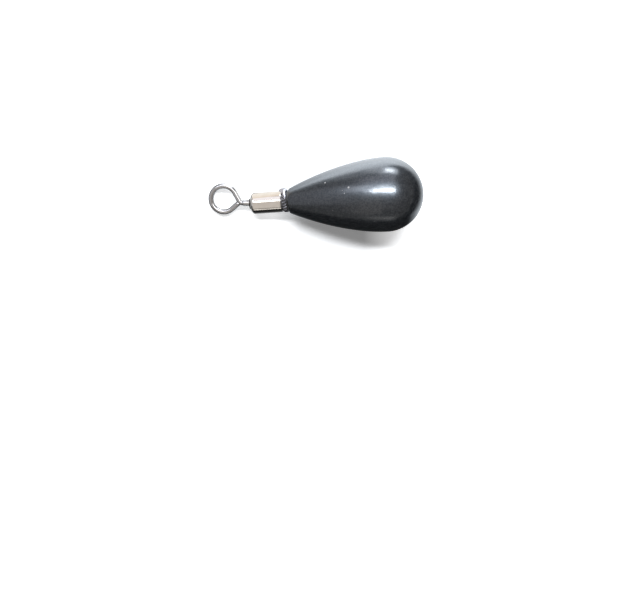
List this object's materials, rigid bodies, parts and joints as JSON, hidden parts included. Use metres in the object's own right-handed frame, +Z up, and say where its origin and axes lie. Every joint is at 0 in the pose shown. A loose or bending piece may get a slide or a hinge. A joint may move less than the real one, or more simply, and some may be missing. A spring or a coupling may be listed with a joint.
{
  "type": "fishing sinker",
  "caption": "Teardrop fishing sinker with a black coated body, a knurled collar and a plated barrel swivel whose wire eye turns freely.",
  "frame": {"origin": "centre of the footprint, on the surface that the sinker lies on", "axes": "+Z up, -X towards the swivel's eye and +X towards the weight's round end, with the axis of the sinker pitched nose down as it lies at rest, +Y across it"},
  "size_m": [0.0278, 0.0096, 0.0098],
  "materials": {
    "black_coating": "satin black coat over tungsten alloy",
    "cured_adhesive": "cured black epoxy",
    "black_gloss_metal": "glossy black coat over knurled brass",
    "nickel_plate": "bright nickel plate over drawn brass",
    "steel_wire": "bright stainless wire"
  },
  "bodies": {
    "sinker": {"weight_body": "black_coating", "socket_adhesive": "cured_adhesive", "anchor_plug": "black_gloss_metal", "swivel_barrel": "nickel_plate"},
    "eye": {"ring_eye": "steel_wire"}
  },
  "joints": [
    {"name": "eye_spin", "type": "hinge", "parent": "sinker", "child": "eye", "pos_m": [-0.00845, 0, 0.00166], "axis": [-0.9818, 0, -0.1898], "continuous": true}
  ]
}
